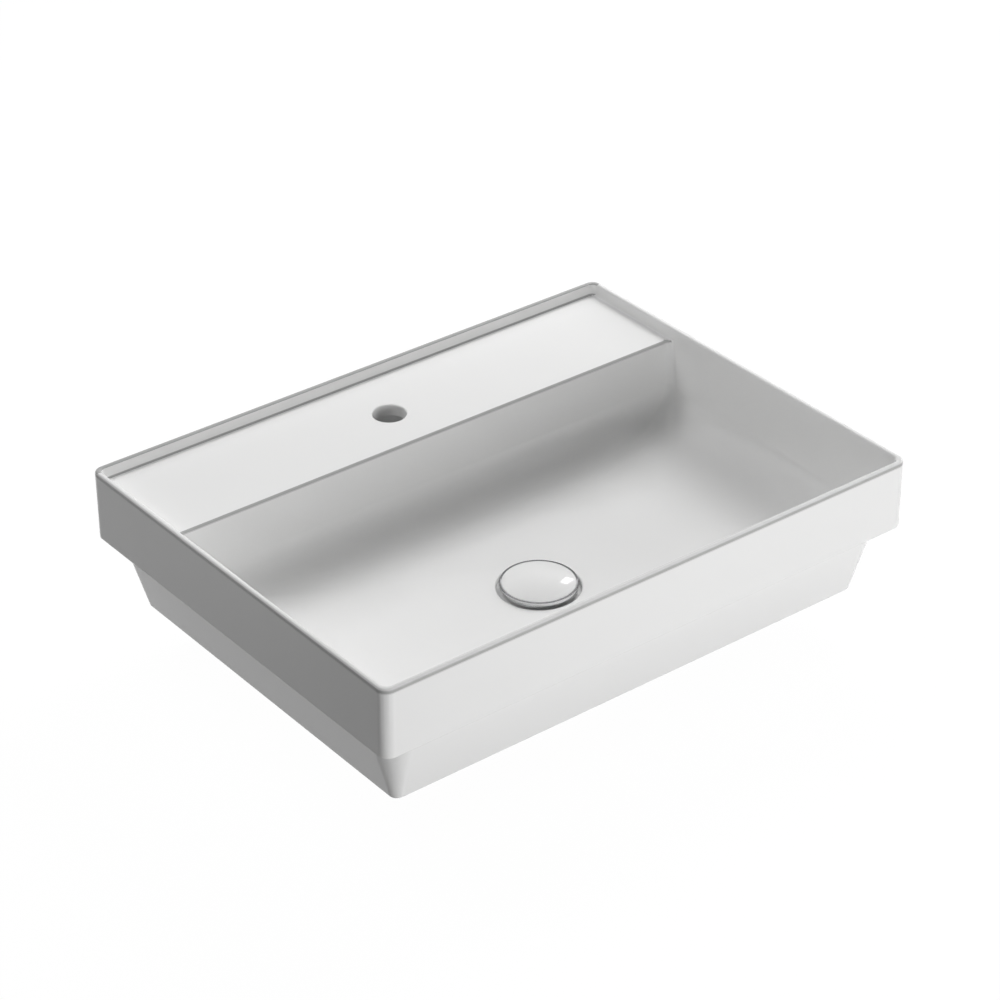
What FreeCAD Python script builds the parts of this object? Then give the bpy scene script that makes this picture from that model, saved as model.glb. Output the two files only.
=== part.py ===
import FreeCAD, Part
import math
import os
import Sketcher

# Inset basin of glazed ceramic with a press-to-open waste.
# Millimetres. The origin is the middle of the worktop plane under the collar,
# +X to the right seen from the front, +Y to the back, +Z up.

# Driving dimensions: alias, value, meaning
SIZES = (
    ("collar_width", 620, "collar, left to right"),
    ("collar_depth", 470, "collar, front to back"),
    ("collar_height", 73.6, "worktop to rim"),
    ("collar_corner", 11, "plan radius of the collar's corners"),
    ("collar_foot_round", 1.5, "round of the collar's lower edge"),
    ("rim_width", 5.7, "lip between outer face and bowl"),
    ("rim_round", 2.5, "rounds on both sides of the lip"),
    ("rim_corner", 6, "radius of the ledge's rear corners"),
    ("wall_lean", 0.185, "inward lean of the inner walls per mm of depth"),
    ("deck_drop", 12, "tap ledge below the rim"),
    ("deck_depth", 133, "ledge's front edge from the back face"),
    ("deck_thickness", 12, "ceramic under the ledge"),
    ("deck_round", 2.5, "round between ledge and rim"),
    ("rear_lean", 0.29, "forward lean of the bowl's rear wall"),
    ("wall_corner", 8, "radius between the bowl's leaning walls"),
    ("cut_over", 1, "overrun of the cuts beyond the faces that they open"),
    ("knee_height", 20, "where the walls turn into the cove, above the worktop"),
    ("cove_depth", 48, "height of the cove"),
    ("cove_side", 99, "reach of the cove from the side walls"),
    ("cove_rear", 55, "reach of the cove from the rear wall"),
    ("cove_front", 80, "reach of the cove from the front wall"),
    ("floor_corner", 62, "plan radius of the floor's corners"),
    ("waste_drop", 5.5, "fall of the floor to the waste"),
    ("waste_setback", 175, "waste axis from the front face"),
    ("body_inset", 11, "width of the seat under the collar"),
    ("body_draft", 15.8, "draft of the lower body, in degrees"),
    ("body_depth", 76, "lower body below the worktop"),
    ("body_corner", 29.5, "plan radius of the lower body under the collar"),
    ("seat_round", 3, "hollow round between the lower body and the seat"),
    ("body_foot_round", 3, "round of the lower body's bottom edge"),
    ("shell_wall", 10, "wall of the lower body"),
    ("hollow_angle", 42, "where the outer cove leaves the solid seat, in degrees"),
    ("bowl_wall", 10, "wall of the bowl"),
    ("boss_diameter", 92, "waste boss"),
    ("boss_lift", 4, "boss face above the lower body's bottom"),
    ("tap_hole_diameter", 34, "tap hole"),
    ("tap_hole_setback", 75, "tap hole from the back face"),
    ("tap_hole_shift", 13, "tap hole to the left of the middle"),
    ("tap_hole_round", 1.5, "glazed round of the tap hole"),
    ("recess_diameter", 82, "recess for the waste"),
    ("recess_depth", 4.5, "depth of that recess"),
    ("recess_round", 2, "glazed round of that recess"),
    ("recess_land", 3, "level land round that recess"),
    ("waste_hole_diameter", 46, "hole through the boss"),
    ("thread_diameter", 41.9, "outside of the G 1 1/4 thread"),
    ("thread_play", 0.1, "radial room round the thread"),
    ("relief_gap", 1, "thread between the back nut and the relief groove"),
    ("relief_width", 2, "relief groove between the nut's thread and the trap's thread"),
    ("relief_depth", 0.8, "depth of that groove"),
    ("waste_chamfer", 1, "chamfers of the flange and of the tail"),
    ("throat_diameter", 37, "bore of the waste body"),
    ("tail_length", 48, "waste body below the boss"),
    ("flange_diameter", 70, "flange of the waste body"),
    ("flange_thickness", 2.5, "flange of the waste body"),
    ("flange_seal_diameter", 66, "washer under the flange"),
    ("flange_seal_thickness", 1.5, "washer under the flange"),
    ("boss_seal_top", 60, "tapered seal, upper diameter"),
    ("boss_seal_bottom", 53, "tapered seal, lower diameter"),
    ("boss_seal_height", 8, "tapered seal"),
    ("slip_washer_diameter", 60, "slip washer"),
    ("slip_washer_thickness", 2, "slip washer"),
    ("back_nut_flats", 55, "back nut across flats"),
    ("back_nut_height", 9, "back nut"),
    ("spider_drop", 46, "spider's top below the flange's top"),
    ("spider_height", 10, "spider"),
    ("spider_hub_diameter", 21, "hub of the spider"),
    ("rib_root", 1, "depth of a spider rib's ends in the hub and the throat's wall"),
    ("spider_rib_width", 4, "ribs of the spider"),
    ("spider_ribs", 3, "number of ribs"),
    ("plug_gap", 1.9, "closed plate above the flange"),
    ("plate_diameter", 76.6, "plug plate"),
    ("plate_base", 1.2, "plug plate under the cover"),
    ("plate_rim", 3.9, "height of the plate's rim"),
    ("plate_neck_diameter", 31, "neck under the plate"),
    ("plate_neck_length", 10, "neck under the plate"),
    ("cover_diameter", 72.7, "ceramic cover"),
    ("cover_play", 0.4, "radial room between cover and plate rim"),
    ("cover_edge", 1.8, "height of the cover's edge"),
    ("cover_rise", 5, "dome above that edge"),
    ("cover_round", 1.2, "round of the cover's edge"),
    ("pad_diameter", 60, "bonding pad under the cover"),
    ("pad_thickness", 0.5, "bonding pad under the cover"),
    ("seal_outer_play", 0.3, "radial room between seal and throat"),
    ("seal_groove_diameter", 27, "bottom of the seal's groove"),
    ("seal_height", 5, "plug seal"),
    ("seal_lift", 1, "seal above the neck's end"),
    ("stem_diameter", 6, "threaded stem"),
    ("stem_grip", 7, "stem inside the neck and inside the plunger"),
    ("stem_play", 0.05, "radial room round the stem"),
    ("stem_nut_flats", 10, "lock nut across flats"),
    ("stem_nut_height", 4.5, "lock nut"),
    ("stem_free", 3.4, "bare stem between neck and lock nut"),
    ("plunger_diameter", 10.4, "plunger"),
    ("plunger_length", 24, "plunger"),
    ("plunger_play", 0.05, "radial room round the plunger"),
    ("press_travel", 1.5, "press below the closed position"),
    ("lift_travel", 10, "rise from closed to open"),
    ("groove_lead", 72, "lead of the cam grooves"),
    ("groove_depth", 1.2, "depth of the cam grooves"),
    ("groove_width", 2.7, "width of the cam grooves across the axis"),
    ("groove_end", 1.6, "groove beyond the lug's last place"),
    ("lug_diameter", 1.8, "lugs of the latch ring"),
    ("lug_play", 0.25, "room between lug and groove bottom"),
    ("ring_drop", 10, "middle of the latch ring below the plunger's top"),
    ("ring_height", 3.4, "latch ring"),
    ("ring_play", 0.3, "room round the latch ring"),
    ("ring_wall", 1.4, "latch ring"),
    ("cap_guide", 6, "length of the cap's guide above the ring"),
    ("cap_wall", 1.8, "wall of the cap's skirt"),
    ("cap_skirt", 4, "length of the cap's skirt"),
    ("cap_chamfer", 1, "chamfer of the cap's top"),
    ("sleeve_wall", 1.4, "wall of the sleeve round the ring"),
    ("sleeve_shank_diameter", 14, "shank of the sleeve through the spider"),
    ("sleeve_shank_length", 18, "shank of the sleeve"),
    ("shank_play", 0.1, "radial room round the shank"),
    ("foot_thickness", 4, "foot screwed into the shank"),
    ("cartridge_nut_flats", 19, "nut under the spider"),
    ("cartridge_nut_height", 5, "nut under the spider"),
    ("spring_wire", 1.1, "wire of the spring"),
    ("spring_mean_diameter", 7.2, "spring"),
    ("spring_turns", 6, "turns of the spring"),
)

doc = FreeCAD.newDocument("InsetBasin")
sheet = doc.addObject("Spreadsheet::Sheet", "Sizes")
for row, (alias, number, meaning) in enumerate(SIZES, start=1):
    sheet.set(f"A{row}", meaning)
    sheet.set(f"B{row}", str(number))
    sheet.setAlias(f"B{row}", alias)
doc.recompute()

# A ruler reads an expression of the sheet as a plain number of millimetres.
ruler = doc.addObject("App::VarSet", "Ruler")
ruler.addProperty("App::PropertyFloat", "Reading")


def size_of(expression):
    """Value of an expression on the sheet."""
    ruler.setExpression("Reading", expression)
    ruler.recompute()
    return ruler.Reading


# Places that several pieces share
RIM_Z = "Sizes.collar_height"
DECK_Z = "(Sizes.collar_height - Sizes.deck_drop)"
FLOOR_Z = "(Sizes.knee_height - Sizes.cove_depth)"
WASTE_Y = "(Sizes.waste_setback - Sizes.collar_depth / 2)"
WASTE_Z = f"({FLOOR_Z} - Sizes.waste_drop)"
SEAT_Z = f"({WASTE_Z} - Sizes.recess_depth)"
HOLLOW_Z = "(Sizes.knee_height - (Sizes.cove_depth + Sizes.bowl_wall) * sin(Sizes.hollow_angle * 1 deg))"
BOSS_Z = "(Sizes.boss_lift - Sizes.body_depth)"
SEAL_LOW = f"({BOSS_Z} - Sizes.boss_seal_height)"
WASHER_LOW = f"({SEAL_LOW} - Sizes.slip_washer_thickness)"
NUT_LOW = f"({WASHER_LOW} - Sizes.back_nut_height)"
FLANGE_LOW = f"({SEAT_Z} + Sizes.flange_seal_thickness)"
FLANGE_TOP = f"({FLANGE_LOW} + Sizes.flange_thickness)"
SPIDER_TOP = f"({FLANGE_TOP} - Sizes.spider_drop)"
SPIDER_LOW = f"({SPIDER_TOP} - Sizes.spider_height)"
PLATE_LOW = f"({FLANGE_TOP} + Sizes.plug_gap)"
NECK_LOW = f"({PLATE_LOW} - Sizes.plate_neck_length)"
COVER_LOW = f"({PLATE_LOW} + Sizes.plate_base + Sizes.pad_thickness)"
PLUNGER_TOP = f"({NECK_LOW} - Sizes.stem_free - Sizes.stem_nut_height)"
PLUNGER_LOW = f"({PLUNGER_TOP} - Sizes.plunger_length)"
RING_Z = f"({PLUNGER_TOP} - Sizes.ring_drop)"
CHAMBER_LOW = f"({RING_Z} - Sizes.ring_height / 2 - Sizes.ring_play)"
CHAMBER_TOP = f"({RING_Z} + Sizes.ring_height / 2 + Sizes.ring_play)"
SHANK_LOW = f"({SPIDER_TOP} - Sizes.sleeve_shank_length)"
FOOT_TOP = f"({SHANK_LOW} + Sizes.foot_thickness)"
THREAD_HOLE = "(Sizes.thread_diameter / 2 + Sizes.thread_play)"
GUIDE_RADIUS = "(Sizes.plunger_diameter / 2 + Sizes.plunger_play)"
RING_INNER = "(Sizes.plunger_diameter / 2 + Sizes.ring_play)"
RING_OUTER = f"({RING_INNER} + Sizes.ring_wall)"
CHAMBER_RADIUS = f"({RING_OUTER} + Sizes.ring_play)"
SLEEVE_RADIUS = f"({CHAMBER_RADIUS} + Sizes.sleeve_wall)"
CAP_RADIUS = f"({SLEEVE_RADIUS} + Sizes.thread_play + Sizes.cap_wall)"


# Helpers

def new_body(label, on_waste_axis=True):
    """Empty body, placed on the waste axis unless told otherwise."""
    body = doc.addObject("PartDesign::Body", label)
    body.Label = label
    if on_waste_axis:
        body.setExpression("Placement.Base.y", WASTE_Y)
    return body


def sketch_on(body, name, role, offset="0"):
    """Empty sketch on one of the body's own planes, moved along its normal."""
    plane = next(f for f in body.Origin.OriginFeatures if f.Role == role)
    sketch = body.newObject("Sketcher::SketchObject", name)
    sketch.AttachmentSupport = [(plane, "")]
    sketch.MapMode = "FlatFace"
    sketch.setExpression("AttachmentOffset.Base.z", offset)
    return sketch


def dimension(sketch, name, expression, kind, *places):
    """Dimension whose value is bound to the sheet."""
    index = sketch.addConstraint(Sketcher.Constraint(kind, *places, size_of(expression)))
    sketch.renameConstraint(index, name)
    sketch.setExpression(f"Constraints.{name}", expression)


def rounded_rectangle(body, name, height, half_width, front, back, front_radius, back_radius, middle_y="0"):
    """Rectangle with round corners, on a level plane, with its front and back distances from middle_y."""
    sketch = sketch_on(body, name, "XY_Plane", height)
    sketch.setExpression("AttachmentOffset.Base.y", middle_y)
    wide, near, far = size_of(half_width), -size_of(front), size_of(back)
    radii = (size_of(front_radius), size_of(front_radius), size_of(back_radius), size_of(back_radius))
    corners = ((-wide, near), (wide, near), (wide, far), (-wide, far))
    for i in range(4):
        (x0, y0), (x1, y1) = corners[i], corners[(i + 1) % 4]
        length = math.hypot(x1 - x0, y1 - y0)
        ux, uy = (x1 - x0) / length, (y1 - y0) / length
        start = FreeCAD.Vector(x0 + ux * radii[i], y0 + uy * radii[i], 0)
        end_gap = radii[(i + 1) % 4]
        end = FreeCAD.Vector(x1 - ux * end_gap, y1 - uy * end_gap, 0)
        sketch.addGeometry(Part.LineSegment(start, end))
        centre = FreeCAD.Vector(end.x - uy * end_gap, end.y + ux * end_gap, 0)
        turn = math.atan2(-ux, uy)
        circle = Part.Circle(centre, FreeCAD.Vector(0, 0, 1), end_gap)
        sketch.addGeometry(Part.ArcOfCircle(circle, turn, turn + math.pi / 2))
    for i in range(4):
        sketch.addConstraint(Sketcher.Constraint("Tangent", 2 * i, 2, 2 * i + 1, 1))
        sketch.addConstraint(Sketcher.Constraint("Tangent", 2 * i + 1, 2, (2 * i + 2) % 8, 1))
    for line, level in ((0, "Horizontal"), (2, "Vertical"), (4, "Horizontal"), (6, "Vertical")):
        sketch.addConstraint(Sketcher.Constraint(level, line))
    sketch.addConstraint(Sketcher.Constraint("Equal", 1, 7))
    sketch.addConstraint(Sketcher.Constraint("Equal", 3, 5))
    dimension(sketch, "front_radius", front_radius, "Radius", 1)
    dimension(sketch, "back_radius", back_radius, "Radius", 3)
    dimension(sketch, "right", half_width, "DistanceX", -1, 1, 2, 1)
    dimension(sketch, "left", half_width, "DistanceX", 6, 1, -1, 1)
    dimension(sketch, "front", front, "DistanceY", 0, 1, -1, 1)
    dimension(sketch, "back", back, "DistanceY", -1, 1, 4, 1)
    return sketch


def circles(body, name, height, diameters, x="0", y="0"):
    """Concentric circles on a level plane."""
    sketch = sketch_on(body, name, "XY_Plane", height)
    sketch.setExpression("AttachmentOffset.Base.x", x)
    sketch.setExpression("AttachmentOffset.Base.y", y)
    for i, diameter in enumerate(diameters):
        circle = Part.Circle(FreeCAD.Vector(), FreeCAD.Vector(0, 0, 1), size_of(diameter) / 2)
        sketch.addGeometry(circle)
        sketch.addConstraint(Sketcher.Constraint("Coincident", i, 3, -1, 1))
        dimension(sketch, f"diameter_{i}", diameter, "Diameter", i)
    return sketch


def polygon(sketch, corners):
    """Closed outline whose corners are bound to the sheet."""
    points = [FreeCAD.Vector(size_of(across), size_of(up), 0) for across, up in corners]
    count = len(points)
    for i in range(count):
        sketch.addGeometry(Part.LineSegment(points[i], points[(i + 1) % count]))
    for i in range(count):
        sketch.addConstraint(Sketcher.Constraint("Coincident", i, 2, (i + 1) % count, 1))
    for i, (across, up) in enumerate(corners):
        dimension(sketch, f"across_{i}", across, "DistanceX", -1, 1, i, 1)
        dimension(sketch, f"up_{i}", up, "DistanceY", -1, 1, i, 1)


def turned(body, name, corners, feature="PartDesign::Revolution", middle_y="0"):
    """Solid or groove turned about the vertical axis from corners of radius and height."""
    sketch = sketch_on(body, f"{name}_profile", "XZ_Plane")
    sketch.setExpression("AttachmentOffset.Base.z", f"-({middle_y})")
    polygon(sketch, corners)
    solid = body.newObject(feature, name)
    solid.Profile = sketch
    solid.ReferenceAxis = (sketch, ["V_Axis"])
    solid.Angle = 360
    return solid


def pad(body, name, sketch, length, feature="PartDesign::Pad"):
    """Sketch raised along its normal, or cut into the body in that direction."""
    solid = body.newObject(feature, name)
    solid.Profile = sketch
    solid.setExpression("Length", length)
    solid.Reversed = feature == "PartDesign::Pocket"
    return solid


def loft(body, name, sections, ruled=True, cut=False):
    """Solid or cut through level sections."""
    solid = body.newObject("PartDesign::SubtractiveLoft" if cut else "PartDesign::AdditiveLoft", name)
    solid.Profile = sections[0]
    solid.Sections = sections[1:]
    solid.Ruled = ruled
    return solid


def wedge(body, name, low, high, sides, cut=False):
    """Block or cut with leaning flat sides; sides(height) gives half width, front and back from the waste axis."""
    kind = "PartDesign::SubtractiveWedge" if cut else "PartDesign::AdditiveWedge"
    solid = body.newObject(kind, name)
    plane = next(f for f in body.Origin.OriginFeatures if f.Role == "XZ_Plane")
    solid.AttachmentSupport = [(plane, "")]
    solid.MapMode = "FlatFace"
    for mark, height, level in (("", low, "Ymin"), ("2", high, "Ymax")):
        half_width, front, back = sides(height)
        solid.setExpression(level, height)
        solid.setExpression(f"X{mark}min", f"-({half_width})")
        solid.setExpression(f"X{mark}max", half_width)
        solid.setExpression(f"Z{mark}min", f"-({WASTE_Y}) - ({back})")
        solid.setExpression(f"Z{mark}max", f"({front}) - ({WASTE_Y})")
    return solid


def round_edges(body, name, radius, wanted):
    """Round on the edges of the body's last feature that a test picks out."""
    doc.recompute()
    base = body.Tip
    names = [f"Edge{i}" for i, edge in enumerate(base.Shape.Edges, start=1) if wanted(edge)]
    if not names:
        raise RuntimeError(f"{name}: no edge to round")
    fillet = body.newObject("PartDesign::Fillet", name)
    fillet.Base = (base, names)
    fillet.setExpression("Radius", radius)
    return fillet


def middle(edge):
    """Point halfway along an edge."""
    return edge.valueAt((edge.FirstParameter + edge.LastParameter) / 2)


def upright(edge):
    """Whether an edge runs up rather than level."""
    return edge.BoundBox.ZLength > max(edge.BoundBox.XLength, edge.BoundBox.YLength)


def is_circle(edge, radius):
    """True for an edge on a circle of that radius."""
    return edge.Curve.TypeId == "Part::GeomCircle" and abs(edge.Curve.Radius - radius) < 0.01


def draft_sides(body, name, height, role, angle):
    """Draft on the side faces that cross a height, from one of the body's own planes down."""
    doc.recompute()
    base = body.Tip
    plane = next(f for f in body.Origin.OriginFeatures if f.Role == role)
    margin = size_of("Sizes.cut_over")
    names = [f"Face{i}" for i, face in enumerate(base.Shape.Faces, start=1)
             if face.BoundBox.ZMin < height - margin and face.BoundBox.ZMax > height + margin]
    draft = body.newObject("PartDesign::Draft", name)
    draft.Base = (base, names)
    draft.NeutralPlane = (plane, [""])
    draft.Reversed = True
    draft.setExpression("Angle", angle)
    return draft


def level_edge(edge, height):
    """True for an edge that lies wholly at a height."""
    box = edge.BoundBox
    return abs(box.ZMin - height) < 0.01 and abs(box.ZMax - height) < 0.01


def primitive(kind, label, height_from="0", on_waste_axis=True, **sizes):
    """Part primitive whose sizes and height are bound to the sheet."""
    solid = doc.addObject(kind, label)
    solid.Label = label
    for key, expression in sizes.items():
        solid.setExpression(key, expression)
    solid.setExpression("Placement.Base.z", height_from)
    if on_waste_axis:
        solid.setExpression("Placement.Base.y", WASTE_Y)
    return solid


def cut(label, base, tool):
    """Base less tool."""
    result = doc.addObject("Part::Cut", label)
    result.Label = label
    result.Base = base
    result.Tool = tool
    return result


def hexagon_nut(label, low, flats, height, hole_radius):
    """Hexagon nut with a plain hole."""
    blank = primitive("Part::Prism", f"{label}_blank", low, Circumradius=f"{flats} / sqrt(3)", Height=height)
    blank.Polygon = 6
    hole = primitive("Part::Cylinder", f"{label}_hole", low, Radius=hole_radius, Height=height)
    return cut(label, blank, hole)


# Basin body

HALF_WIDTH = "Sizes.collar_width / 2"
HALF_DEPTH = "Sizes.collar_depth / 2"


def wall_in(height):
    """Inner face of the leaning walls, in from the collar's outer face."""
    return f"(Sizes.rim_width + Sizes.wall_lean * (Sizes.collar_height - ({height})))"


def rear_wall(height):
    """Bowl's rear wall, behind the waste axis."""
    lean = f"Sizes.rear_lean * ({DECK_Z} - ({height}))"
    return f"(Sizes.collar_depth / 2 - Sizes.deck_depth - {lean} - {WASTE_Y})"


def front_wall(height):
    """Bowl's front wall, in front of the waste axis."""
    return f"(Sizes.waste_setback - {wall_in(height)})"


def cove_section(body, name, angle, wall, depth):
    """Level section of the cove, a quarter of an ellipse seen from the side, with a wall added outside."""
    inward = f"(1 - cos({angle} * 1 deg))"
    height = f"Sizes.knee_height - ({depth}) * sin({angle} * 1 deg)"
    side = f"{HALF_WIDTH} - {wall_in('Sizes.knee_height')} - Sizes.cove_side * {inward} + {wall}"
    front = f"{front_wall('Sizes.knee_height')} - Sizes.cove_front * {inward} + {wall}"
    back = f"{rear_wall('Sizes.knee_height')} - Sizes.cove_rear * {inward} + {wall}"
    corner = f"Sizes.wall_corner + (Sizes.floor_corner - Sizes.wall_corner) * {inward} + {wall}"
    return rounded_rectangle(body, name, height, side, front, back, corner, corner, WASTE_Y)


RECESS_ROUNDNESS = 0.9


def floor_section(body, name, height, share, wall):
    """Section of the floor at the cove's foot (share 0) or at the waste recess (share 1)."""
    recess = "(Sizes.recess_diameter / 2 + Sizes.recess_land)"
    side = f"({HALF_WIDTH} - {wall_in('Sizes.knee_height')} - Sizes.cove_side)"
    front = f"({front_wall('Sizes.knee_height')} - Sizes.cove_front)"
    back = f"({rear_wall('Sizes.knee_height')} - Sizes.cove_rear)"
    blend = [f"({far} + ({recess} - {far}) * {share} + {wall})" for far in (side, front, back)]
    nearly_round = f"{RECESS_ROUNDNESS} * {recess}"
    corner = f"(Sizes.floor_corner + ({nearly_round} - Sizes.floor_corner) * {share} + {wall})"
    return rounded_rectangle(body, name, height, *blend, corner, corner, WASTE_Y)


INNER_ANGLES = (0, 15, 30, 45, 60, 75, 90)
OUTER_ANGLES = ("Sizes.hollow_angle", 50, 60, 75, 90)


def bowl_form(body, prefix, angles, wall, cut_out):
    """Smooth cove down to its foot, then the floor that falls to the waste."""
    depth = f"Sizes.cove_depth + {wall}"
    cove = [cove_section(body, f"{prefix}_cove_{i}", angle, wall, depth) for i, angle in enumerate(angles)]
    loft(body, f"{prefix}_cove", cove, ruled=False, cut=cut_out)
    foot = floor_section(body, f"{prefix}_floor_edge", f"{FLOOR_Z} - {wall}", 0, wall)
    recess = floor_section(body, f"{prefix}_floor_recess", f"{WASTE_Z} - {wall}", 1, wall)
    return loft(body, f"{prefix}_floor", [foot, recess], cut=cut_out)


def bowl_sides(height):
    """Half width, front and back of the bowl's walls."""
    return f"{HALF_WIDTH} - {wall_in(height)}", front_wall(height), rear_wall(height)


def ledge_sides(height):
    """Half width, front and back of the room over the tap ledge."""
    back = f"{HALF_DEPTH} - {wall_in(height)} - {WASTE_Y}"
    return f"{HALF_WIDTH} - {wall_in(height)}", f"2 * Sizes.wall_corner - {rear_wall(DECK_Z)}", back


def make_bowl_form():
    """The room inside the bowl: leaning walls, cove and floor."""
    body = new_body("bowl_room", on_waste_axis=False)
    wedge(body, "walls", "Sizes.knee_height", f"{RIM_Z} + Sizes.cut_over", bowl_sides)
    round_edges(body, "wall_corners", "Sizes.wall_corner", upright)
    bowl_form(body, "bowl", INNER_ANGLES, "0", cut_out=False)
    return body


def box_section(body, name, height, inset, corner):
    """Rounded section at an inset from the collar's outer faces."""
    half_width, half_depth = f"{HALF_WIDTH} - ({inset})", f"{HALF_DEPTH} - ({inset})"
    return rounded_rectangle(body, name, height, half_width, half_depth, half_depth, corner, corner)


def make_basin_body():
    body = new_body("basin_body", on_waste_axis=False)
    foot = "-Sizes.body_depth"
    rim_height = size_of(RIM_Z)
    foot_height = size_of(foot)
    half_width = size_of(HALF_WIDTH)
    half_depth = size_of(HALF_DEPTH)

    # Outer form: a tall collar on a tapered lower body
    pad(body, "collar", box_section(body, "collar_plan", "0", "0", "Sizes.collar_corner"), RIM_Z)
    seat_plan = box_section(body, "lower_plan", "0", "Sizes.body_inset", "Sizes.body_corner")
    lower_body = pad(body, "lower_body", seat_plan, "Sizes.body_depth")
    lower_body.Reversed = True
    draft_sides(body, "lower_draft", foot_height / 2, "XY_Plane", "Sizes.body_draft")
    round_edges(body, "foot_rounds", "Sizes.body_foot_round", lambda e: level_edge(e, foot_height))
    seat = size_of("Sizes.body_inset")
    round_edges(body, "collar_foot_rounds", "Sizes.collar_foot_round", lambda e: level_edge(e, 0) and
                min(half_width - abs(middle(e).x), half_depth - abs(middle(e).y)) < seat / 2)
    round_edges(body, "seat_rounds", "Sizes.seat_round", lambda e: level_edge(e, 0) and
                min(half_width - abs(middle(e).x), half_depth - abs(middle(e).y)) > seat / 2)
    round_edges(body, "rim_outer_rounds", "Sizes.rim_round", lambda e: level_edge(e, rim_height))

    # Hollow underside, open below, and the tap's room under the ledge
    hollow_inset = f"Sizes.body_inset + Sizes.shell_wall - {HOLLOW_Z} * tan(Sizes.body_draft * 1 deg)"
    hollow_plan = box_section(body, "hollow_plan", HOLLOW_Z, hollow_inset,
                              "Sizes.body_corner - Sizes.shell_wall")
    hollow = pad(body, "hollow", hollow_plan, f"Sizes.body_depth + {HOLLOW_Z}", "PartDesign::Pocket")
    hollow.Reversed = False
    hollow.setExpression("TaperAngle", "-Sizes.body_draft * 1 deg")
    room_half = f"{HALF_WIDTH} - ({hollow_inset})"
    room_back = f"{HALF_DEPTH} - ({hollow_inset}) - {WASTE_Y}"
    room_corner = "Sizes.body_corner - Sizes.shell_wall"
    room_sections = []
    for name, height in (("room_low", HOLLOW_Z), ("room_top", f"{DECK_Z} - Sizes.deck_thickness")):
        # the room's front is kept behind the rear wall, so its front distance from the waste axis is negative
        front = f"-({rear_wall(height)} + Sizes.bowl_wall)"
        room_sections.append(rounded_rectangle(body, name, height, room_half, front, room_back,
                                               room_corner, room_corner, WASTE_Y))
    loft(body, "tap_room", room_sections, cut=True)

    # Bowl wall and waste boss, hung in the hollow
    bowl_form(body, "bowl_wall_form", OUTER_ANGLES, "Sizes.bowl_wall", cut_out=False)
    boss_plan = circles(body, "boss_plan", BOSS_Z, ["Sizes.boss_diameter"], y=WASTE_Y)
    pad(body, "boss", boss_plan, f"{SEAT_Z} - {BOSS_Z}")

    # Tap ledge with its rounds, then the bowl
    above = f"{RIM_Z} + Sizes.cut_over"
    wedge(body, "ledge", DECK_Z, above, ledge_sides, cut=True)
    deck_height = size_of(DECK_Z)
    deck_front = size_of(f"{HALF_DEPTH} - Sizes.deck_depth")
    round_edges(body, "ledge_corners", "Sizes.rim_corner", lambda e: upright(e) and
                deck_height < middle(e).z < rim_height and middle(e).y > deck_front)
    round_edges(body, "ledge_rounds", "Sizes.deck_round", lambda e: level_edge(e, deck_height) and
                middle(e).y > deck_front)
    hollow_bowl = body.newObject("PartDesign::Boolean", "bowl")
    hollow_bowl.setObjects([make_bowl_form()])
    hollow_bowl.Type = "Cut"

    # Waste recess with its hole, and the tap hole
    recess = "Sizes.recess_diameter / 2"
    hole = "Sizes.waste_hole_diameter / 2"
    recess_top = f"{WASTE_Z} + Sizes.cut_over"
    hole_low = f"{BOSS_Z} - Sizes.cut_over"
    turned(body, "waste_recess", [("0", recess_top), (recess, recess_top), (recess, SEAT_Z),
                                  (hole, SEAT_Z), (hole, hole_low), ("0", hole_low)],
           "PartDesign::Groove", WASTE_Y)
    tap_low = f"{DECK_Z} - Sizes.deck_thickness - Sizes.cut_over"
    tap_plan = circles(body, "tap_hole_plan", tap_low, ["Sizes.tap_hole_diameter"], "-Sizes.tap_hole_shift",
                       f"{HALF_DEPTH} - Sizes.tap_hole_setback")
    pad(body, "tap_hole", tap_plan, "Sizes.deck_thickness + 2 * Sizes.cut_over", "PartDesign::Pocket")

    # Glazed rounds: tap hole, waste recess and the inside of the lip
    tap_radius = size_of("Sizes.tap_hole_diameter / 2")
    recess_radius = size_of(recess)
    waste_height = size_of(WASTE_Z)
    lip = size_of("Sizes.rim_width") - size_of("Sizes.rim_round") / 4
    round_edges(body, "tap_hole_rounds", "Sizes.tap_hole_round",
                lambda e: level_edge(e, deck_height) and is_circle(e, tap_radius))
    round_edges(body, "recess_rounds", "Sizes.recess_round",
                lambda e: level_edge(e, waste_height) and is_circle(e, recess_radius))
    round_edges(body, "rim_inner_rounds", "Sizes.rim_round", lambda e: level_edge(e, rim_height) and
                min(half_width - abs(middle(e).x), half_depth - abs(middle(e).y)) > lip)
    return body


# Waste body and what clamps it to the boss

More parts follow.
